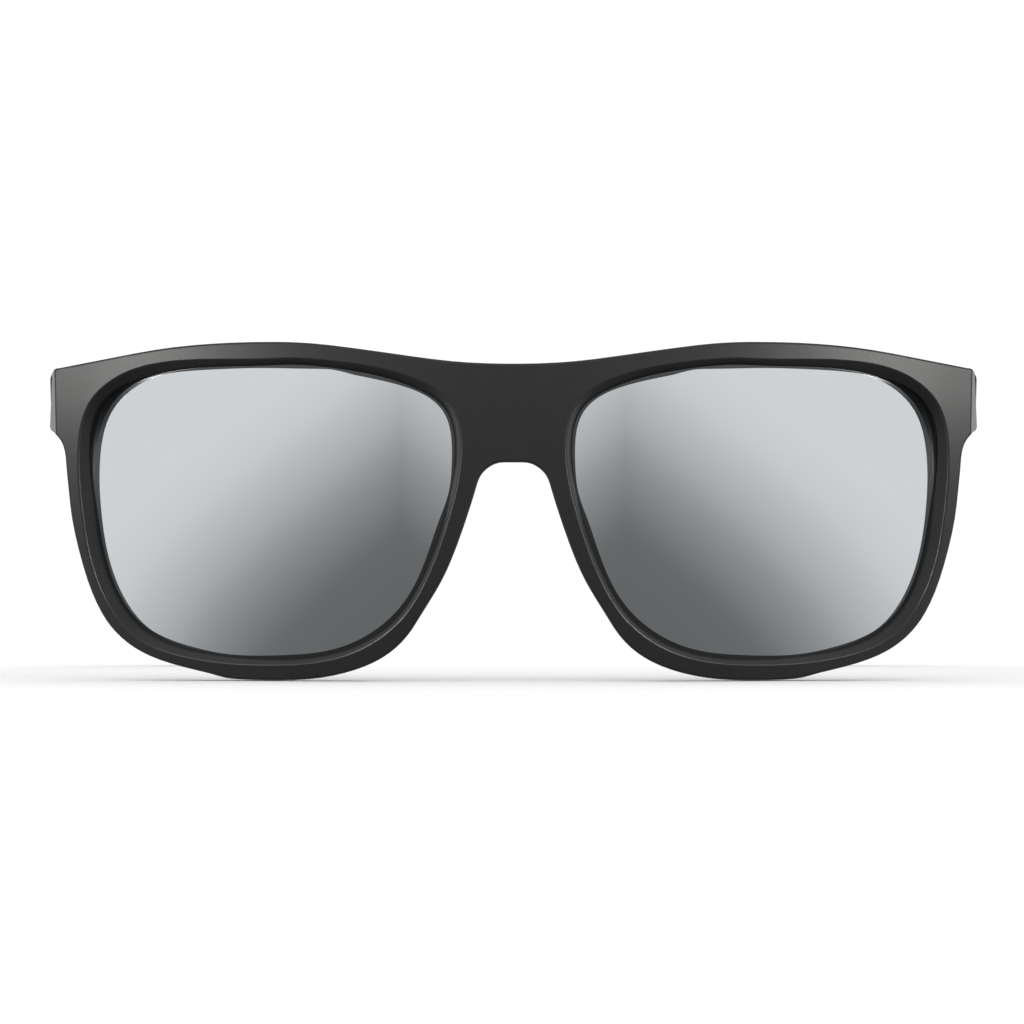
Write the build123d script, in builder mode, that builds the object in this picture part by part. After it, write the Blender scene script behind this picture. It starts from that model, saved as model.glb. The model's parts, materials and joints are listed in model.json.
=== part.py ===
"""Wrap-front sunglasses with mirrored lenses, spring-hinged temples and rubber contact pieces.

Millimetres. +Z is up, the front looks along -Y and the temples run back along +Y.
The origin is the middle of the footprint, on the surface that the glasses stand on
with their temples open. "left" is the wearer's left, which is +X. Every sided piece
is made on the left and mirrored to the right.
"""

import os
from itertools import pairwise
from math import asin, cos, exp, radians, sin, sqrt, tan

from build123d import *

# ---- driving dimensions ----------------------------------------------------------

frame_width = 145.0
overall_depth = 152.13
front_y = -overall_depth / 2  # foremost point of the bridge

# The front's outer face is part of one sphere, which gives it wrap and crown.
wrap_radius = 170.0
wrap_centre = (0, front_y + wrap_radius, 26.2)
rim_depth = 5.8
rim_round = 0.4  # along the outer edge of the front face
back_round = 0.5

# Lens, cut from a spherical shell and tilted outwards with the wrap.
lens_radius = 88.0
lens_thickness = 2.0
lens_centre_x = 37.2
lens_recess = 0.1  # vertex behind the front's outer sphere
lens_overlap = 0.8  # how far the lens's edge reaches into its groove
lens_play = 0.02
bezel_angle = 32.0  # slope of the bezel, from the lens's own axis
bezel_foot = 5.2  # depth of the bezel's foot behind the lens's tangent plane
bezel_round = 0.35

# Endpiece, where the front turns back to meet the temple.
endpiece_inner_x = 64.8
endpiece_bottom_z = 38.3
endpiece_back_y = front_y + 22.0
endpiece_draft = 11.5  # the side face opens by this angle to the rear
endpiece_corner = 2.5
mitre_gap = 0.1

# Hinge, about a vertical screw. Distances named box_, neck_ and rod_ are behind the pin.
pin_x = 67.9
pin_y = endpiece_back_y + 2.0
pin_z = 43.4
screw_radius = 0.65
screw_play = 0.04
screw_fit = 0.02  # play in the lower ear, where the screw holds
screw_head_radius = 1.15
screw_head_height = 0.8
screw_head_round = 0.25
screw_slot = 0.35
knuckle_radius = 1.6
knuckle_height = 2.4
ear_height = 1.5
ear_gap = 0.05
foot_depth = 4.5
foot_slot_width = 0.9
foot_slot_depth = 1.2
box_front = 1.9
box_shoulder = 5.4
box_back = 13.5
box_width = 3.0
box_height = 3.4
box_round = 0.4
neck_width = 1.5
neck_height = 1.9
neck_end = 5.0
guide_play = 0.05
rod_radius = 0.4
rod_end = 12.1
stop_radius = 0.9
stop_length = 0.8
bore_play = 0.1
spring_radius = 0.77
spring_wire = 0.14  # radius
spring_turns = 8
spring_end_gap = 0.05

# Nose pads.
pad_length = 16.0
pad_width = 8.0
pad_thickness = 2.2
pad_round = 0.95
pad_peg_radius = 0.8
pad_peg_spacing = 7.0
pad_splay = 27.0
pad_centre = (11.6, front_y + 10.8, 20.0)
tab_thickness = 1.6
tab_corner = 2.5

# Temple, along a path that slopes down, then hooks over the ear.
temple_outer_x = 72.4
temple_slope = 9.64
hook_start = 92.0
hook_radius = 52.0
hook_angle = 46.0
temple_length = 140.0
temple_toe_in = 6.2  # how far inwards the outer face settles
toe_in_length = 45.0  # it has covered nearly two thirds of that by here
curl_start = 80.0
curl_in = 10.5  # how much further inwards the rear end curls, to hold behind the ear
notch_wall_x = 69.7
arm_end = 88.0
tang_end = 103.0
tang_width = 1.8
tang_height = 4.2
core_start = 60
core_end = 130
core_width = 1.0
core_height = 2.0


# ---- lens ------------------------------------------------------------------------

wrap_angle = asin(lens_centre_x / wrap_radius)
eye_axis = Vector(sin(wrap_angle), -cos(wrap_angle), 0)
eye_point = Vector(*wrap_centre) + eye_axis * wrap_radius
eye_plane = Plane(origin=eye_point, x_dir=(cos(wrap_angle), sin(wrap_angle), 0), z_dir=eye_axis)
lens_centre = eye_point - eye_axis * (lens_radius + lens_recess)

# The visible edge of the lens in its own plane: +x towards the temple, +y up.
sight_points = [
    (0.4, 22.6),
    (9.0, 22.4),
    (17.0, 21.8),
    (24.0, 19.8),
    (28.6, 16.0),
    (30.3, 9.0),
    (29.8, 0.0),
    (27.8, -9.6),
    (22.6, -17.7),
    (13.3, -21.6),
    (0.4, -22.8),
    (-11.8, -20.9),
    (-19.0, -16.0),
    (-23.5, -8.6),
    (-26.4, 0.0),
    (-27.7, 9.5),
    (-26.0, 15.8),
    (-21.0, 19.2),
    (-10.5, 21.9),
]
sight_joints = (0, 5, 10, 15, 19)  # points where one curve of the edge meets the next


def outward(index):
    """Unit normal of the visible edge at one of its points."""
    before = sight_points[index - 1]
    after = sight_points[(index + 1) % len(sight_points)]
    along = Vector(after[0] - before[0], after[1] - before[1]).normalized()
    return Vector(-along.Y, along.X)


def edge_depth(x, y):
    """Depth of the lens's front face behind its tangent plane."""
    return lens_recess + lens_radius - sqrt(lens_radius**2 - x**2 - y**2)


def sight_face(growths, in_one_curve):
    """Flat face inside the visible edge, grown at each point by its own amount."""
    points = []
    for index, (x, y) in enumerate(sight_points):
        points.append(Vector(x, y) + outward(index) * growths[index])
    with BuildSketch(mode=Mode.PRIVATE) as sketch:
        with BuildLine():
            if in_one_curve:
                Spline(*points, periodic=True)
            else:
                points.append(points[0])
                for first, last in pairwise(sight_joints):
                    ends = [outward(index % len(sight_points)) for index in (first, last)]
                    Spline(*points[first : last + 1], tangents=[(end.Y, -end.X) for end in ends])
        make_face()
    return sketch.sketch


def bezel_growths(depth):
    """How far the bezel's slope stands outside the visible edge at this depth."""
    slope = tan(radians(bezel_angle))
    return [(edge_depth(x, y) - depth) * slope for x, y in sight_points]


def lens_blank(play):
    """The lens, or the room that its groove leaves for it."""
    reach = lens_overlap + play
    # Where the lens lies behind the bezel's foot, it follows the wider opening there.
    growths = [reach + max(0, growth) for growth in bezel_growths(bezel_foot)]
    outline = sight_face(growths, in_one_curve=False)
    with BuildPart() as blank:
        with BuildSketch(eye_plane):
            add(outline)
        extrude(amount=15, both=True)
        with Locations(lens_centre):
            Sphere(lens_radius + play, mode=Mode.INTERSECT)
            Sphere(lens_radius - lens_thickness - play, mode=Mode.SUBTRACT)
    return blank.part


lens = lens_blank(0)
groove = lens_blank(lens_play)

bezel_mouth = sight_face(bezel_growths(-2), in_one_curve=True)
bezel_floor = sight_face(bezel_growths(bezel_foot), in_one_curve=True)

with BuildPart() as aperture:
    # Bezel, from in front of the rim down to its foot, and straight behind that.
    with BuildSketch(eye_plane.offset(2)):
        add(bezel_mouth)
    with BuildSketch(eye_plane.offset(-bezel_foot)):
        add(bezel_floor)
    loft(ruled=True)
    with BuildSketch(eye_plane.offset(-bezel_foot)):
        add(bezel_floor)
    extrude(amount=-8)


# ---- hinge -----------------------------------------------------------------------

ear_bottom = pin_z + knuckle_height / 2 + ear_gap
ear_top = ear_bottom + ear_height
foot_height = 2 * (ear_top - pin_z)
along_y = (90, 0, 0)  # turns a cylinder's axis from Z to Y

with BuildPart() as hinge_foot:
    # Block moulded into the endpiece, with a slot that the plastic flows into.
    with Locations((pin_x, endpiece_back_y - foot_depth / 2, pin_z)):
        Box(2 * knuckle_radius, foot_depth, foot_height)
        Box(foot_slot_width, foot_slot_depth, foot_height, mode=Mode.SUBTRACT)

with BuildPart() as hinge_front:
    add(hinge_foot.part)
    for bottom in (ear_bottom, 2 * pin_z - ear_top):
        with BuildSketch(Plane.XY.offset(bottom)):
            with Locations((pin_x, pin_y)):
                Circle(knuckle_radius)
            with Locations((pin_x, (pin_y + endpiece_back_y) / 2)):
                Rectangle(2 * knuckle_radius, pin_y - endpiece_back_y)
        extrude(amount=ear_height)
    # The screw turns freely in the upper ear and is a close fit in the lower one.
    with Locations((pin_x, pin_y, pin_z + ear_height)):
        Cylinder(screw_radius + screw_play, 2 * ear_height, mode=Mode.SUBTRACT)
    with Locations((pin_x, pin_y, pin_z - ear_height)):
        Cylinder(screw_radius + screw_fit, 2 * ear_height, mode=Mode.SUBTRACT)

with BuildPart() as hinge_screw:
    shank_length = foot_height - 0.1
    with Locations((pin_x, pin_y, ear_top - shank_length / 2)):
        Cylinder(screw_radius, shank_length)
    with Locations((pin_x, pin_y, ear_top + screw_head_height / 2)):
        Cylinder(screw_head_radius, screw_head_height)
    fillet(hinge_screw.edges().sort_by(Axis.Z)[-1], screw_head_round)
    with Locations((pin_x, pin_y, ear_top + screw_head_height)):
        Box(2 * screw_head_radius, screw_slot, screw_head_height, mode=Mode.SUBTRACT)

with BuildPart() as hinge_slider:
    # Knuckle on the screw, a square neck that slides in the box, and a thin tail rod.
    with Locations((pin_x, pin_y, pin_z)):
        Cylinder(knuckle_radius, knuckle_height)
    with Locations((pin_x, pin_y + neck_end / 2, pin_z)):
        Box(neck_width, neck_end, neck_height)
    with Locations(Location((pin_x, pin_y + (neck_end + rod_end) / 2, pin_z), along_y)):
        Cylinder(rod_radius, rod_end - neck_end)
    with Locations((pin_x, pin_y, pin_z)):
        Cylinder(screw_radius + screw_play, knuckle_height, mode=Mode.SUBTRACT)

stop_front = rod_end - 0.1 - stop_length
with BuildPart() as spring_stop:
    # Collar crimped on the tail rod, which keeps the spring on.
    with Locations(Location((pin_x, pin_y + stop_front + stop_length / 2, pin_z), along_y)):
        Cylinder(stop_radius, stop_length)
        Cylinder(rod_radius, stop_length, mode=Mode.SUBTRACT)

with BuildPart() as box_block:
    with Locations((pin_x, pin_y + (box_front + box_back) / 2, pin_z)):
        Box(box_width, box_back - box_front, box_height)
    fillet(box_block.edges().filter_by(Axis.Y), box_round)

with BuildPart() as hinge_box:
    add(box_block.part)
    guide = (neck_width + 2 * guide_play, box_shoulder, neck_height + 2 * guide_play)
    with Locations((pin_x, pin_y + box_shoulder / 2, pin_z)):
        Box(*guide, mode=Mode.SUBTRACT)
    bore_length = box_back - box_shoulder
    with Locations(Location((pin_x, pin_y + box_shoulder + bore_length / 2, pin_z), along_y)):
        Cylinder(stop_radius + bore_play, bore_length, mode=Mode.SUBTRACT)

spring_end = spring_wire + spring_end_gap  # from a seat to the middle of the wire
spring_start = (pin_x, pin_y + box_shoulder + spring_end, pin_z)
spring_length = stop_front - box_shoulder - 2 * spring_end
with BuildPart() as hinge_spring:
    # Compression spring between the box's shoulder and the stop.
    with BuildLine():
        coil = Helix(
            pitch=spring_length / spring_turns,
            height=spring_length,
            radius=spring_radius,
            center=spring_start,
            direction=(0, 1, 0),
        )
    with BuildSketch(Plane(origin=coil @ 0, z_dir=coil % 0)):
        Circle(spring_wire)
    sweep(is_frenet=True)


# ---- nose pads -------------------------------------------------------------------

# The pad's long axis follows the side of the nose, and the pad opens to the rear.
pad_down = Vector(6, 1.5, -15).normalized()
pad_rear = Vector(sin(radians(pad_splay)), cos(radians(pad_splay)), 0)
pad_plane = Plane(origin=pad_centre, x_dir=pad_down, z_dir=pad_down.cross(pad_rear))

with BuildPart() as nose_pad:
    with BuildSketch(pad_plane):
        SlotOverall(pad_length, pad_width)
    extrude(amount=pad_thickness)
    fillet(nose_pad.edges(), pad_round)
    with BuildSketch(pad_plane.offset(pad_thickness)):
        with GridLocations(pad_peg_spacing, 1, 2, 1):
            Circle(pad_peg_radius)
    extrude(amount=tab_thickness)

with BuildPart() as pad_tab:
    # Wing that carries the pad. Only what stands behind the rim is kept.
    with BuildSketch(pad_plane.offset(pad_thickness)):
        with Locations((0, -2.6)):
            RectangleRounded(pad_length - 3, pad_width + 3.2, tab_corner)
    extrude(amount=tab_thickness)
    with Locations(wrap_centre):
        Sphere(wrap_radius - rim_depth + 0.6, mode=Mode.INTERSECT)


# ---- helpers for both sides ------------------------------------------------------


def sided(part, side):
    """The left-hand piece, or its mirror image on the right where side is -1."""
    return part if side > 0 else mirror(part, about=Plane.YZ, mode=Mode.PRIVATE)


def on_wrap(edge, radius):
    """Does this edge lie on the sphere of this radius about the wrap's centre?"""
    centre = Vector(*wrap_centre)
    return all(abs((edge @ t - centre).length - radius) < 0.02 for t in (0, 0.3, 0.7, 1))


# ---- front -----------------------------------------------------------------------

with BuildPart() as hollow:
    # Room behind the rim. The endpiece stays solid back to the mitre.
    with Locations(wrap_centre):
        Sphere(wrap_radius - rim_depth)
    with BuildSketch(Plane.XZ.offset(-endpiece_back_y)):
        with Locations((endpiece_inner_x + 10, endpiece_bottom_z + 10)):
            RectangleRounded(20, 20, endpiece_corner)
    extrude(amount=30, mode=Mode.SUBTRACT)

with BuildPart() as front_half:
    with BuildSketch(Plane.XZ):
        with BuildLine():
            # Brow, from the bridge past the endpiece's side, which is cut later.
            middle = ((0, 48.95), (9, 49.3), (18, 50.45), (27, 51.7), (38, 52.4))
            crown = Spline(*middle, tangents=((1, 0), (1, 0)))
            outer = (crown @ 1, (46, 52.2), (55, 51.35), (63, 49.95), (70.8, 48.5))
            brow = Spline(*outer, tangents=((1, 0), (1, -0.19)))
            ThreePointArc(brow @ 1, (71.8, 48.1), (72.1, 47.2))
            Line((72.1, 47.2), (72.5, 39.6))
            ThreePointArc((72.5, 39.6), (72.3, 38.9), (71.7, 38.55))
            # Rim, from under the endpiece down past the cheek.
            side = ((71.7, 38.55), (70.3, 36.8), (69.6, 33), (69.3, 30))
            notch = Spline(*side, tangents=((-1, -1), (-0.1, -1)))
            side = (notch @ 1, (68.7, 25), (67.6, 20), (66.1, 15), (63.8, 10))
            cheek = Spline(*side, tangents=((-0.1, -1), (-0.6, -1)))
            below = (cheek @ 1, (60.3, 6), (54.9, 3.1), (47, 1), (36.5, 0))
            base = Spline(*below, tangents=((-0.6, -1), (-1, 0)))
            # Rim, from its lowest point up the side of the nose.
            below = (base @ 1, (27, 0.95), (20.5, 3.4), (15, 8.95))
            foot = Spline(*below, tangents=((-1, 0), (-0.6, 1)))
            flank = (foot @ 1, (11, 15.6), (8.2, 22.3), (6, 29))
            nose_side = Spline(*flank, tangents=((-0.6, 1), (-0.3, 1)))
            arch = (nose_side @ 1, (4.9, 31.9), (3, 33.4), (0, 33.7))
            Spline(*arch, tangents=((-0.3, 1), (-1, 0)))
            Line((0, 33.7), (0, 48.95))
        make_face()
    extrude(amount=100, both=True)
    with Locations(wrap_centre):
        Sphere(wrap_radius, mode=Mode.INTERSECT)
    add(hollow.part, mode=Mode.SUBTRACT)
    # Cut the endpiece flat at the mitre and draft its side.
    with Locations((50, endpiece_back_y + 50, 25)):
        Box(200, 100, 200, mode=Mode.SUBTRACT)
    with Locations(Location((frame_width / 2, endpiece_back_y, 25), (0, 0, -endpiece_draft))):
        Box(20, 80, 100, align=(Align.MIN, Align.CENTER, Align.CENTER), mode=Mode.SUBTRACT)
    face_edges = front_half.edges().filter_by(lambda edge: on_wrap(edge, wrap_radius))
    fillet(face_edges.filter_by(lambda edge: (edge @ 0.5).X > 0.01), rim_round)
    # Open the sight, and round the bezel's crest and the sight's rear edge.
    add(aperture.part, mode=Mode.SUBTRACT)
    sight_edges = front_half.edges(Select.LAST)
    fillet(sight_edges.filter_by(lambda edge: on_wrap(edge, wrap_radius)), bezel_round)
    rear_edges = sight_edges.filter_by(lambda edge: on_wrap(edge, wrap_radius - rim_depth))
    fillet(rear_edges, back_round)
    # Add the tab for the nose pad, and cut the lens groove, peg holes and hinge pocket.
    add(pad_tab.part)
    add(groove, mode=Mode.SUBTRACT)
    add(nose_pad.part, mode=Mode.SUBTRACT)
    add(hinge_foot.part, mode=Mode.SUBTRACT)

with BuildPart() as front_frame:
    # The halves keep their own faces, so that each stays a simple patch.
    add(front_half.part)
    add(mirror(front_half.part, about=Plane.YZ, mode=Mode.PRIVATE), clean=False)


# ---- temple ----------------------------------------------------------------------

hook_end = hook_start + hook_radius * radians(hook_angle)


def temple_plane(s, thickness):
    """Plane square to the temple at a distance along it, for a section as thick as this."""
    slope = radians(temple_slope)
    along = min(s, hook_start)
    y = along * cos(slope)
    z = -along * sin(slope)
    if s > hook_start:
        turned = slope + (min(s, hook_end) - hook_start) / hook_radius
        y += hook_radius * (sin(turned) - sin(slope))
        z -= hook_radius * (cos(slope) - cos(turned))
        slope = turned
        y += max(s - hook_end, 0) * cos(slope)
        z -= max(s - hook_end, 0) * sin(slope)
    inset = temple_toe_in * (1 - exp(-s / toe_in_length))
    if s > curl_start:
        inset += curl_in * ((s - curl_start) / (temple_length - curl_start)) ** 2
    return Plane(
        origin=(temple_outer_x - inset - thickness / 2, endpiece_back_y + y, pin_z + z),
        x_dir=(-1, 0, 0),
        z_dir=(0, cos(slope), -sin(slope)),
    )


def temple_loft(stations, width=None, height=None):
    """Solid through rounded sections, each (distance along, thickness, height, corner radius).

    With a width and a height it is instead a plain bar along the middle of those sections.
    """
    with BuildPart() as piece:
        for s, thickness, section_height, corner in stations:
            with BuildSketch(temple_plane(s, thickness)):
                if width:
                    Rectangle(width, height)
                else:
                    RectangleRounded(thickness, section_height, corner)
        loft()
    return piece.part


arm_stations = [
    (-6, 6.3, 10.0, 1.6),
    (5, 4.9, 9.6, 1.5),
    (16, 3.9, 9.3, 1.4),
    (28, 3.75, 8.6, 1.35),
    (40, 3.65, 7.9, 1.3),
    (52, 3.5, 7.35, 1.25),
    (64, 3.4, 7.0, 1.2),
    (76, 3.3, 6.8, 1.15),
    (arm_end, 3.2, 6.6, 1.1),
]
tip_stations = [
    (arm_end, 3.6, 7.0, 1.3),
    (96, 4.2, 7.8, 1.6),
    (104, 4.4, 8.2, 1.75),
    (112, 4.5, 8.5, 1.8),
    (120, 4.45, 8.4, 1.8),
    (128, 4.3, 8.1, 1.8),
    (134, 3.9, 7.5, 1.7),
    (138, 3.1, 6.2, 1.4),
    (temple_length - 0.6, 2.2, 4.4, 1.0),
    (temple_length, 1.4, 3.2, 0.6),
]
bar_thickness = 3.4  # the arm's own thickness over most of the bars' run
tang_stations = [(s, bar_thickness, 7, 1) for s in (arm_end - 2, 93, 98, tang_end)]
core_stations = [(s, bar_thickness, 7, 1) for s in range(core_start, core_end + 1, 10)]

temple_core = temple_loft(core_stations, core_width, core_height)

with BuildPart() as temple_arm:
    add(temple_loft(arm_stations))
    # Square front end, and a notch in the inner side for the hinge to turn in.
    mitre_y = endpiece_back_y + mitre_gap
    with Locations((70, mitre_y, pin_z)):
        Box(30, 30, 30, align=(Align.CENTER, Align.MAX, Align.CENTER), mode=Mode.SUBTRACT)
    with Locations((notch_wall_x, pin_y + box_front, pin_z)):
        Box(30, 30, 30, align=(Align.MAX, Align.MAX, Align.CENTER), mode=Mode.SUBTRACT)
    add(temple_loft(tang_stations, tang_width, tang_height))
    add(box_block.part, mode=Mode.SUBTRACT)
    add(temple_core, mode=Mode.SUBTRACT)

with BuildPart() as temple_tip:
    add(temple_loft(tip_stations))
    add(temple_arm.part, mode=Mode.SUBTRACT)
    add(temple_core, mode=Mode.SUBTRACT)


# ---- files -----------------------------------------------------------------------

left_pieces = {
    "lens": lens,
    "nose_pad": nose_pad.part,
    "hinge_front": hinge_front.part,
    "hinge_screw": hinge_screw.part,
    "hinge_slider": hinge_slider.part,
    "spring_stop": spring_stop.part,
    "hinge_spring": hinge_spring.part,
    "hinge_box": hinge_box.part,
    "temple_arm": temple_arm.part,
    "temple_core": temple_core,
    "temple_tip": temple_tip.part,
}

os.makedirs("parts", exist_ok=True)
front_frame.part.label = "front_frame"
export_step(front_frame.part, "parts/front_frame.step")
for name, part in left_pieces.items():
    for hand, side in (("left", 1), ("right", -1)):
        piece = sided(part, side)
        piece.label = f"{name}_{hand}"
        export_step(piece, f"parts/{name}_{hand}.step")
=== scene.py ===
"""Looks of the wrap-front sunglasses: lens and spring meshes, materials, studio light and camera.

Metres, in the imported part's frame. +Z is up and the front looks along -Y. Azimuths are
about the vertical: 0 is the direction that the front looks in, and +X is at 90 degrees.
"""

import json
from math import asin, atan2, cos, hypot, pi, radians, sin, sqrt

import bpy
from mathutils import Matrix, Vector


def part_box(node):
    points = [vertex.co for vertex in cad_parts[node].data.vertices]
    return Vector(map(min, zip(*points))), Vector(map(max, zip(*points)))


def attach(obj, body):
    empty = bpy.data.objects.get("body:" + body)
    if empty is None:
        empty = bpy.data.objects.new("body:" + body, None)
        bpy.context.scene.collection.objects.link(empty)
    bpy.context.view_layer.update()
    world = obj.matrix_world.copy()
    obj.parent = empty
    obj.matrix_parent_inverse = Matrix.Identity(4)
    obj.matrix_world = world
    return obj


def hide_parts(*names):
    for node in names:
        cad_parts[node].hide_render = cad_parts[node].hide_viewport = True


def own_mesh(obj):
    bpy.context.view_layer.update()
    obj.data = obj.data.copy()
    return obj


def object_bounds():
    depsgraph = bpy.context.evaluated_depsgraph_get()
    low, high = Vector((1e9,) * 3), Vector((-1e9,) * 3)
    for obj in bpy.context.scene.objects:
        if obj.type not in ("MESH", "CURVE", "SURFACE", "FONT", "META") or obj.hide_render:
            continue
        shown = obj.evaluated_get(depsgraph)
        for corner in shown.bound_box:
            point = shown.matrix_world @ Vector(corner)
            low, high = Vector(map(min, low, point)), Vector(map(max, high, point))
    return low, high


HANDS = (("left", 1), ("right", -1))

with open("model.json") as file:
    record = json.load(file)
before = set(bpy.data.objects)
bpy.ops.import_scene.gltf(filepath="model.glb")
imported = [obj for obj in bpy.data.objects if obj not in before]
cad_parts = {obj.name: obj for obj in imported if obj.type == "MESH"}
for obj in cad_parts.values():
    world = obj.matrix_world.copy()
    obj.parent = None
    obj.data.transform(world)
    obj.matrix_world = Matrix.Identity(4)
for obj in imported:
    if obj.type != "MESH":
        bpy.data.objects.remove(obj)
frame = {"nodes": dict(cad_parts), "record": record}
cad_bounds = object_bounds()


# ---- driving dimensions ----------------------------------------------------------

BRIDGE_SET_BACK = 0.000143  # from the outer sphere's foremost point, in the nose gap, to the bridge
FRONT_Y = cad_bounds[0].y - BRIDGE_SET_BACK
WRAP_RADIUS = 0.170  # of the outer sphere, which the front is cut from
WRAP_Z = 0.0262
LENS_X = 0.0372  # where the lens's axis meets the outer sphere
LENS_RADIUS = 0.088
LENS_THICKNESS = 0.002
LENS_RECESS = 0.0001
LENS_CHAMFER = 0.0002
LENS_SHADE_BORDER = 0.0013  # dark border round the mirror, painted shade of the rim's groove, most of it inside the groove
LENS_CELLS = 72  # grid cells across the lens
WALL_TILT = 0.5  # a CAD lens face is part of the wall if its normal's share along the axis is less
EVEN_STEPS = 5  # angles to each side that the painted shade border's radius is averaged over
EVEN_ANGLE = 0.015  # between those angles, in radians

SPRING_WIRE = 0.00014  # radius
SPRING_RADIUS = 0.00077
SPRING_TURNS = 8
SPRING_STEPS = 36  # rings of the tube for each turn
SPRING_SIDES = 14
CLOSED_RISE = 2 * SPRING_WIRE * 1.05  # rise of the one closed coil at each end

FLOOR_HALF = 4.0
FLOOR_DROP = 0.0001  # below the lowest point of the part

SOFTBOX_AZIMUTH = 50  # degrees, to each side
SOFTBOX_ELEVATION = 23
SOFTBOX_DISTANCE = 0.9
SOFTBOX_SIZE = 0.34
SOFTBOX_POWER = 5.6
SOFTBOX_COLOUR = (1.0, 0.985, 0.965)

CAMERA_DISTANCE = 1.4  # in front of the bridge
CAMERA_ASIDE = -0.00023
CAMERA_HEIGHT = 0.02606
VIEW_WIDTH = 0.1593  # width of the picture at the depth of the rims
RIM_DEPTH = 0.014  # how far the rims' middles lie behind the bridge


# ---- node helpers ----------------------------------------------------------------


class Nodes:
    """Small wrapper that adds and joins the nodes of one material or world."""

    def __init__(self, tree):
        self.tree = tree
        self.tree.nodes.clear()

    def add(self, kind, inputs=None, **settings):
        node = self.tree.nodes.new(kind)
        for name, value in settings.items():
            setattr(node, name, value)
        for name, value in (inputs or {}).items():
            self.put(node, name, value)
        return node

    def put(self, node, name, value):
        socket = node.inputs[name]
        if isinstance(value, bpy.types.NodeSocket):
            self.tree.links.new(value, socket)
        else:
            socket.default_value = value

    def math(self, operation, *values):
        return self.add("ShaderNodeMath", dict(enumerate(values)), operation=operation).outputs[0]

    def ramp(self, value, low, high):
        """value, carried from 0..1 to low..high."""
        node = self.add("ShaderNodeMapRange", {"Value": value, "To Min": low, "To Max": high})
        return node.outputs["Result"]

    def noise(self, scale, detail, stretch=(1, 1, 1)):
        place = self.add("ShaderNodeTexCoord").outputs["Object"]
        if stretch != (1, 1, 1):
            place = self.add("ShaderNodeMapping", {"Vector": place, "Scale": stretch}).outputs[0]
        return self.add("ShaderNodeTexNoise", {"Vector": place, "Scale": scale, "Detail": detail})

    def colours(self, value, dark, light):
        node = self.add("ShaderNodeMix", data_type="RGBA")
        self.tree.links.new(value, node.inputs["Factor"])
        node.inputs[6].default_value = (*dark, 1)
        node.inputs[7].default_value = (*light, 1)
        return node.outputs[2]

    def bump(self, height, distance, strength):
        inputs = {"Height": height, "Distance": distance, "Strength": strength}
        return self.add("ShaderNodeBump", inputs).outputs[0]


def surface(name, fill):
    """New material. fill adds its textures and returns the shader's inputs."""
    material = bpy.data.materials.new(name)
    material.use_nodes = True
    nodes = Nodes(material.node_tree)
    shader = nodes.add("ShaderNodeBsdfPrincipled", fill(nodes))
    nodes.add("ShaderNodeOutputMaterial", {"Surface": shader.outputs[0]})
    return material


# ---- materials -------------------------------------------------------------------


def moulded_plastic(nodes):
    """Satin black polymer with the fine spark-eroded grain of its mould."""
    grain = nodes.noise(5200, 3).outputs["Fac"]
    cloud = nodes.noise(160, 4).outputs["Fac"]
    return {
        "Base Color": nodes.colours(cloud, (0.0082, 0.0081, 0.0080), (0.0112, 0.0110, 0.0107)),
        "Roughness": nodes.ramp(grain, 0.25, 0.35),
        "Specular IOR Level": 0.28,
        "Normal": nodes.bump(grain, 0.000012, 0.6),
    }


def rubber(nodes):
    """Matt elastomer with a soft pebbled skin."""
    pebble = nodes.add(
        "ShaderNodeTexVoronoi",
        {"Vector": nodes.add("ShaderNodeTexCoord").outputs["Object"], "Scale": 2600.0},
        feature="SMOOTH_F1",
    ).outputs["Distance"]
    cloud = nodes.noise(240, 5).outputs["Fac"]
    return {
        "Base Color": nodes.colours(cloud, (0.012, 0.012, 0.0125), (0.022, 0.022, 0.023)),
        "Roughness": nodes.ramp(cloud, 0.68, 0.86),
        "Specular IOR Level": 0.35,
        "Normal": nodes.bump(pebble, 0.00003, 0.5),
    }


def mirror_coat(nodes):
    """Cool silver coat on the lens's front. Only a trace of haze breaks its gloss."""
    haze = nodes.noise(90, 4).outputs["Fac"]
    return {
        "Base Color": nodes.colours(haze, (0.606, 0.634, 0.655), (0.616, 0.643, 0.663)),
        "Metallic": 1.0,
        "Roughness": nodes.ramp(haze, 0.02, 0.06),
    }


def smoke_lens_and_painted_shade(nodes):
    """Dark grey of the lens's back. On the border in front of the mirror coat the same dark grey is
    painted shade of the rim's groove.
    """
    depth = nodes.noise(60, 2).outputs["Fac"]
    return {
        "Base Color": nodes.colours(depth, (0.010, 0.011, 0.012), (0.014, 0.015, 0.016)),
        "Roughness": nodes.ramp(depth, 0.05, 0.09),
        "Coat Weight": 0.6,
        "Coat Roughness": 0.03,
    }


def lens_edge(nodes):
    """Turned edge of the lens, greyer than its faces."""
    marks = nodes.noise(1500, 3, stretch=(1, 1, 0.1)).outputs["Fac"]
    return {
        "Base Color": nodes.colours(marks, (0.018, 0.019, 0.020), (0.034, 0.035, 0.036)),
        "Roughness": nodes.ramp(marks, 0.35, 0.5),
        "Normal": nodes.bump(marks, 0.000006, 0.5),
    }


def machined_steel(nodes):
    """Bright hinge steel with fine lines from milling."""
    lines = nodes.noise(900, 4, stretch=(1, 1, 16)).outputs["Fac"]
    return {
        "Base Color": nodes.colours(lines, (0.42, 0.42, 0.43), (0.62, 0.62, 0.63)),
        "Metallic": 1.0,
        "Roughness": nodes.ramp(lines, 0.22, 0.38),
        "Normal": nodes.bump(lines, 0.000006, 0.5),
    }


def drawn_wire(nodes):
    """Spring steel, drawn lengthwise and lightly oiled."""
    streaks = nodes.noise(1400, 3, stretch=(8, 1, 8)).outputs["Fac"]
    return {
        "Base Color": nodes.colours(streaks, (0.34, 0.34, 0.35), (0.52, 0.52, 0.53)),
        "Metallic": 1.0,
        "Roughness": nodes.ramp(streaks, 0.24, 0.36),
        "Coat Weight": 0.2,
    }


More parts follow.
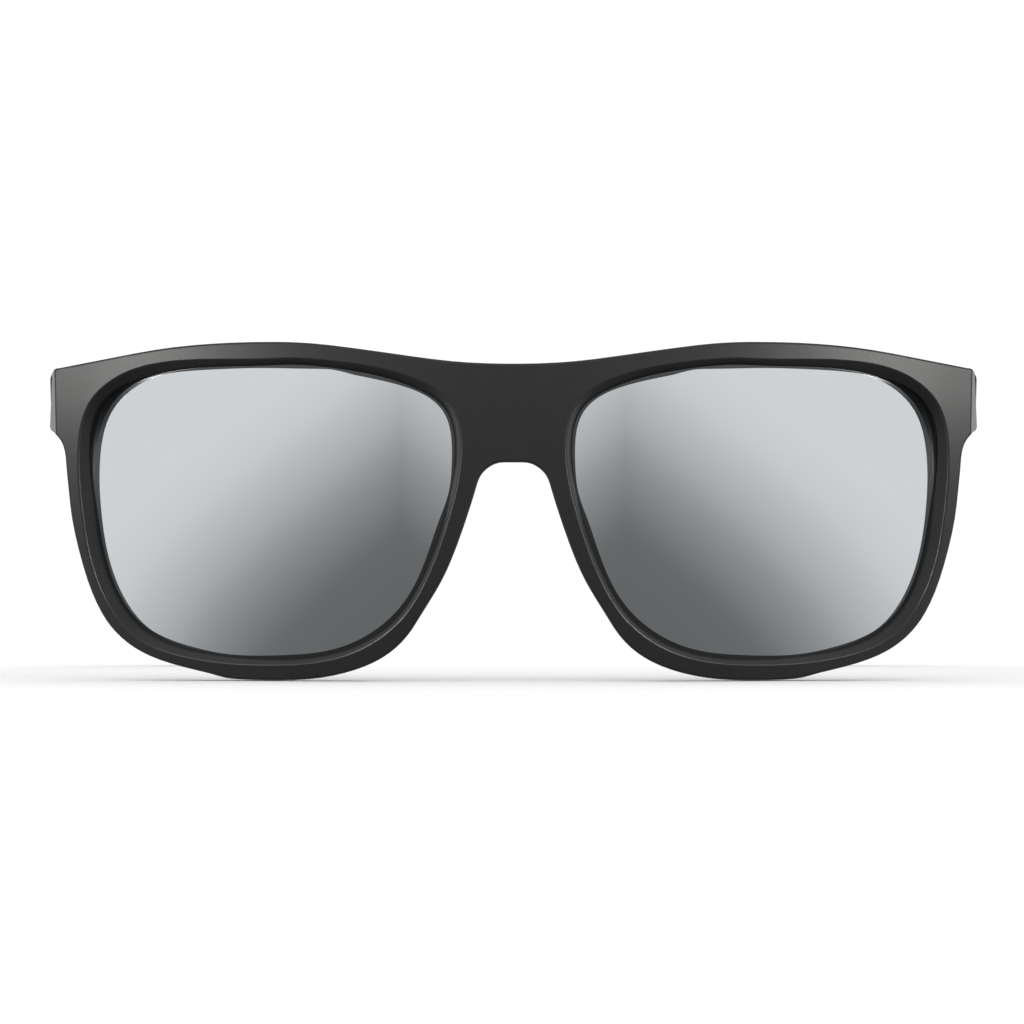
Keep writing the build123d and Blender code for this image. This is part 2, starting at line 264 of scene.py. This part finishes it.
FINISHES = {
    "frame": surface("moulded_plastic", moulded_plastic),
    "rubber": surface("rubber", rubber),
    "hinge_steel": surface("machined_steel", machined_steel),
    "spring_steel": surface("drawn_wire", drawn_wire),
}
LENS_FINISHES = [
    surface("mirror_coat", mirror_coat),
    surface("lens_edge", lens_edge),
    surface("smoke_lens_and_painted_shade", smoke_lens_and_painted_shade),
]
# SMOKE_AND_SHADE is the real smoke-grey back and also painted groove shade on the front's outer ring
COAT, EDGE, SMOKE_AND_SHADE = range(3)  # places in LENS_FINISHES


# ---- meshes ----------------------------------------------------------------------


def new_piece(name, points, faces, finishes, normals=None, finish_of=None):
    """Smooth-shaded mesh object in the row frame."""
    mesh = bpy.data.meshes.new(name)
    mesh.from_pydata(points, [], faces)
    mesh.update()
    mesh.polygons.foreach_set("use_smooth", [True] * len(faces))
    for finish in finishes:
        mesh.materials.append(finish)
    if finish_of:
        mesh.polygons.foreach_set("material_index", finish_of)
    if normals:
        mesh.normals_split_custom_set_from_vertices(normals)
    piece = bpy.data.objects.new(name, mesh)
    bpy.context.scene.collection.objects.link(piece)
    return piece


def lens_space(side):
    """Matrix from the lens's own space (x outwards, y up, z forwards along its axis)."""
    turn = asin(LENS_X / WRAP_RADIUS)
    forward = Vector((side * sin(turn), -cos(turn), 0))
    outwards = Vector((side * cos(turn), sin(turn), 0))
    vertex = Vector((0, FRONT_Y + WRAP_RADIUS, WRAP_Z)) + forward * WRAP_RADIUS
    space = Matrix((outwards, (0, 0, 1), forward)).transposed().to_4x4()
    space.translation = vertex
    return space


def edge_radius(node, space):
    """Function that gives the CAD lens's radius at any angle about its axis."""
    to_lens = space.inverted()
    mesh = node.data
    wall = set()
    for polygon in mesh.polygons:
        if abs((to_lens.to_3x3() @ polygon.normal).z) < WALL_TILT:
            wall.update(polygon.vertices)
    local = [to_lens @ mesh.vertices[index].co for index in wall]
    polar = sorted((atan2(point.y, point.x), hypot(point.x, point.y)) for point in local)
    polar = [(polar[-1][0] - 2 * pi, polar[-1][1])] + polar + [(polar[0][0] + 2 * pi, polar[0][1])]

    def radius(angle):
        low, high = 0, len(polar) - 1
        while high - low > 1:
            middle = (low + high) // 2
            if polar[middle][0] <= angle:
                low = middle
            else:
                high = middle
        (first, inner), (last, outer) = polar[low], polar[high]
        share = (angle - first) / max(last - first, 1e-9)
        return inner + (outer - inner) * share

    return radius


def disc_point(column, row):
    """Angle and share of the radius for a grid point, so that the grid fills a disc with quads."""
    a = 2 * column / LENS_CELLS - 1
    b = 2 * row / LENS_CELLS - 1
    if a == 0 and b == 0:
        return 0.0, 0.0
    if abs(a) >= abs(b):
        share, angle = a, pi / 4 * b / a
    else:
        share, angle = b, pi / 2 - pi / 4 * a / b
    x, y = share * cos(angle), share * sin(angle)
    return atan2(y, x), hypot(x, y)


def build_lens(hand, side):
    """Lens with a mirrored front, a smoke-grey back, a border of painted groove shade round the mirror,
    and a chamfered edge.
    """
    node = frame["nodes"][f"lens_{hand}"]
    space = lens_space(side)
    radius = edge_radius(node, space)
    last = LENS_CELLS
    cells = range(last)
    grid_lines = range(last + 1)
    points, normals, faces, finish_of = [], [], [], []

    def even_radius(angle):
        """Radius averaged over nearby angles, so that the painted shade border runs evenly."""
        steps = range(-EVEN_STEPS, EVEN_STEPS + 1)
        near = [(angle + step * EVEN_ANGLE + pi) % (2 * pi) - pi for step in steps]
        return sum(radius(turn) for turn in near) / len(near)

    def shell_point(angle, reach, shell):
        """Point on a shell about the lens's centre, and the shell's normal there."""
        x, y, depth = reach * cos(angle), reach * sin(angle), sqrt(shell**2 - reach**2)
        point = Vector((x, y, depth - LENS_RADIUS - LENS_RECESS))
        return point, Vector((x, y, depth)).normalized()

    def add_shell(shell, facing):
        """Grid of one face of the lens. Returns the loop of points around its edge."""
        start = len(points)

        def at(column, row):
            return start + row * len(grid_lines) + column

        for row in grid_lines:
            for column in grid_lines:
                angle, share = disc_point(column, row)
                reach = radius(angle) - LENS_CHAMFER
                # Inner rings end a painted-shade border short of the edge; the outermost ring spans that
                # border.
                if share < 1 - 1 / last:
                    reach = (even_radius(angle) - LENS_SHADE_BORDER) * share / (1 - 2 / last)
                point, normal = shell_point(angle, reach, shell)
                points.append(point)
                normals.append(normal * facing)
        for row in cells:
            for column in cells:
                quad = [at(column, row), at(column + 1, row), at(column + 1, row + 1), at(column, row + 1)]
                faces.append(quad if facing > 0 else quad[::-1])
                inside = 0 < column < last - 1 and 0 < row < last - 1
                # The front's outermost ring gets the dark smoke finish as painted shade of the rim's
                # groove.
                finish_of.append(COAT if facing > 0 and inside else SMOKE_AND_SHADE)
        loop = [at(column, 0) for column in cells] + [at(last, row) for row in cells]
        loop += [at(last - column, last) for column in cells] + [at(0, last - row) for row in cells]
        return loop

    def add_band(loop, shell, lift):
        """Loop of points on the lens's wall, beside a face's edge loop."""
        start = len(points)
        for index in loop:
            angle = atan2(points[index].y, points[index].x)
            point = shell_point(angle, radius(angle), shell)[0]
            points.append(point + Vector((0, 0, lift)))
            normals.append(Vector((cos(angle), sin(angle), 0)))
        return [start + step for step in range(len(loop))]

    def join(upper, lower):
        for step, index in enumerate(upper):
            after = (step + 1) % len(upper)
            faces.append([index, lower[step], lower[after], upper[after]])
            finish_of.append(EDGE)

    back = LENS_RADIUS - LENS_THICKNESS
    front_loop = add_shell(LENS_RADIUS, 1)
    back_loop = add_shell(back, -1)
    front_band = add_band(front_loop, LENS_RADIUS, -LENS_CHAMFER)
    back_band = add_band(back_loop, back, LENS_CHAMFER)
    join(front_loop, front_band)
    join(front_band, back_band)
    join(back_band, back_loop)

    placed = [space @ point for point in points]
    turned = [space.to_3x3() @ normal for normal in normals]
    if side < 0:
        faces = [face[::-1] for face in faces]
    lens = new_piece(f"lens_{hand}_mirror", placed, faces, LENS_FINISHES, turned, finish_of)
    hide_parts(f"lens_{hand}")
    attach(lens, "front")


def build_spring(hand, side):
    """Compression spring, a round wire along a helix with its end coils closed up."""
    low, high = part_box(f"hinge_spring_{hand}")
    axis_x, axis_z = (low.x + high.x) / 2, (low.z + high.z) / 2
    start, length = low.y + SPRING_WIRE, high.y - low.y - 2 * SPRING_WIRE
    steps = SPRING_TURNS * SPRING_STEPS
    points, faces = [], []

    def rise(turn):
        if turn < 1:
            return CLOSED_RISE * turn
        if turn > SPRING_TURNS - 1:
            return length - CLOSED_RISE * (SPRING_TURNS - turn)
        return CLOSED_RISE + (length - 2 * CLOSED_RISE) * (turn - 1) / (SPRING_TURNS - 2)

    for step in range(steps + 1):
        angle = 2 * pi * step / SPRING_STEPS
        outwards = Vector((side * cos(angle), 0, sin(angle)))
        middle = Vector((axis_x, start + rise(step / SPRING_STEPS), axis_z)) + outwards * SPRING_RADIUS
        for corner in range(SPRING_SIDES):
            about = 2 * pi * corner / SPRING_SIDES
            points.append(middle + (outwards * cos(about) + Vector((0, sin(about), 0))) * SPRING_WIRE)
    for step in range(steps):
        first, second = step * SPRING_SIDES, (step + 1) * SPRING_SIDES
        for corner in range(SPRING_SIDES):
            after = (corner + 1) % SPRING_SIDES
            faces.append([first + corner, first + after, second + after, second + corner])
    first_ring = list(range(SPRING_SIDES))
    last_ring = [steps * SPRING_SIDES + corner for corner in first_ring]
    faces += [first_ring[::-1], last_ring]
    if side < 0:
        faces = [face[::-1] for face in faces]
    spring = new_piece(f"hinge_spring_{hand}_coil", points, faces, [FINISHES["spring_steel"]])
    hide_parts(f"hinge_spring_{hand}")
    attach(spring, f"temple_{hand}")
    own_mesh(spring)


def finish_cad_pieces():
    """Give each CAD piece the finish of its material slot. The lenses have none, as new meshes
    replace them."""
    for part in frame["record"]["subparts"]:
        finish = FINISHES.get(part["material_slot"])
        if finish:
            materials = frame["nodes"][part["node"]].data.materials
            materials.clear()
            materials.append(finish)


finish_cad_pieces()
for hand, side in HANDS:
    build_lens(hand, side)
    build_spring(hand, side)


# ---- floor -----------------------------------------------------------------------


def pale_floor(nodes):
    """Matt white with a trace of cloud."""
    fleck = nodes.noise(8, 3).outputs["Fac"]
    return {
        "Base Color": nodes.colours(fleck, (0.93, 0.93, 0.93), (0.95, 0.95, 0.95)),
        "Roughness": 0.9,
        "Specular IOR Level": 0.0,
    }


def build_floor():
    """Plain pale floor that the glasses stand on. Reflections don't show it."""
    half = FLOOR_HALF
    corners = [(-half, -half, 0), (half, -half, 0), (half, half, 0), (-half, half, 0)]
    floor = new_piece("floor", corners, [[0, 1, 2, 3]], [surface("pale_floor", pale_floor)])
    floor.location.z = -FLOOR_DROP
    floor.visible_glossy = False


build_floor()


# ---- light -----------------------------------------------------------------------


def build_world():
    """Studio surround. Reflections see it dark behind the camera and brighter to the sides and above,
    other surfaces take plain white light from it, and the camera sees a white backdrop."""
    world = bpy.data.worlds.new("studio")
    world.use_nodes = True
    nodes = Nodes(world.node_tree)
    direction = nodes.add("ShaderNodeTexCoord").outputs["Generated"]
    split = nodes.add("ShaderNodeSeparateXYZ", {"Vector": direction}).outputs
    ahead = nodes.math("MULTIPLY", split["Y"], -1.0)
    azimuth = nodes.math("ARCTAN2", nodes.math("ABSOLUTE", split["X"]), ahead)
    elevation = nodes.math("ARCSINE", split["Z"])
    # Along the mirror's gradient: outwards and, a little faster, upwards.
    along = nodes.math("ADD", azimuth, nodes.math("MULTIPLY", elevation, 1.25))
    span = {"Value": along, "From Min": radians(-20), "From Max": radians(60)}
    share = nodes.add("ShaderNodeMapRange", span)
    ramp = nodes.add("ShaderNodeValToRGB", {"Fac": share.outputs["Result"]})
    ramp.color_ramp.interpolation = "CARDINAL"
    stops = ((0.0, 0.20), (0.25, 0.27), (0.5, 0.54), (0.75, 0.85), (1.0, 1.0))
    elements = ramp.color_ramp.elements
    while len(elements) < len(stops):
        elements.new(0.5)
    for element, (place, level) in zip(elements, stops):
        element.position = place
        element.color = (level, level, level, 1)

    def background(colour, strength):
        return nodes.add("ShaderNodeBackground", {"Color": colour, "Strength": strength}).outputs[0]

    def switch(ray_kind, otherwise, chosen):
        """chosen for rays of this kind, and otherwise for all others."""
        inputs = {0: ray[ray_kind], 1: otherwise, 2: chosen}
        return nodes.add("ShaderNodeMixShader", inputs).outputs[0]

    reflected = background(ramp.outputs["Color"], 1.0)
    ambient = background((1, 1, 1, 1), 1.1)
    backdrop = background((1, 1, 1, 1), 1.05)
    ray = nodes.add("ShaderNodeLightPath").outputs
    lit = switch("Is Glossy Ray", ambient, reflected)
    seen = switch("Is Camera Ray", lit, backdrop)
    nodes.add("ShaderNodeOutputWorld", {"Surface": seen})
    bpy.context.scene.world = world


def build_softbox(name, side, receivers):
    """Square area light that aims at the middle of the front and lights only the receivers."""
    target = Vector((0, cad_bounds[0].y, (cad_bounds[0].z + cad_bounds[1].z) / 2))
    azimuth, elevation = radians(side * SOFTBOX_AZIMUTH), radians(SOFTBOX_ELEVATION)
    away = Vector((sin(azimuth) * cos(elevation), -cos(azimuth) * cos(elevation), sin(elevation)))
    light = bpy.data.lights.new(name, "AREA")
    light.size = SOFTBOX_SIZE
    light.energy = SOFTBOX_POWER
    light.color = SOFTBOX_COLOUR
    lamp = bpy.data.objects.new(name, light)
    lamp.location = target + away * SOFTBOX_DISTANCE
    lamp.rotation_mode = "QUATERNION"
    lamp.rotation_quaternion = away.to_track_quat("Z", "Y")
    lamp.visible_camera = False
    bpy.context.scene.collection.objects.link(lamp)
    lamp.light_linking.receiver_collection = receivers


def collect_matt_pieces():
    """Collection of the CAD pieces that show. The lenses aren't in it, so they reflect no softbox."""
    matt_pieces = bpy.data.collections.new("matt_pieces")
    for node in frame["nodes"].values():
        if not node.hide_render:
            matt_pieces.objects.link(node)
    return matt_pieces


build_world()
softbox_receivers = collect_matt_pieces()
for hand, side in HANDS:
    build_softbox(f"softbox_{hand}", side, softbox_receivers)


# ---- camera ----------------------------------------------------------------------


def build_camera():
    """Long lens, square to the front."""
    data = bpy.data.cameras.new("camera")
    data.lens = data.sensor_width * (CAMERA_DISTANCE + RIM_DEPTH) / VIEW_WIDTH
    data.clip_start, data.clip_end = 0.01, 20
    camera = bpy.data.objects.new("camera", data)
    camera.location = (CAMERA_ASIDE, cad_bounds[0].y - CAMERA_DISTANCE, CAMERA_HEIGHT)
    camera.rotation_euler = (radians(90), 0, 0)
    bpy.context.scene.collection.objects.link(camera)
    bpy.context.scene.camera = camera
    bpy.context.scene.view_settings.view_transform = "Standard"


build_camera()
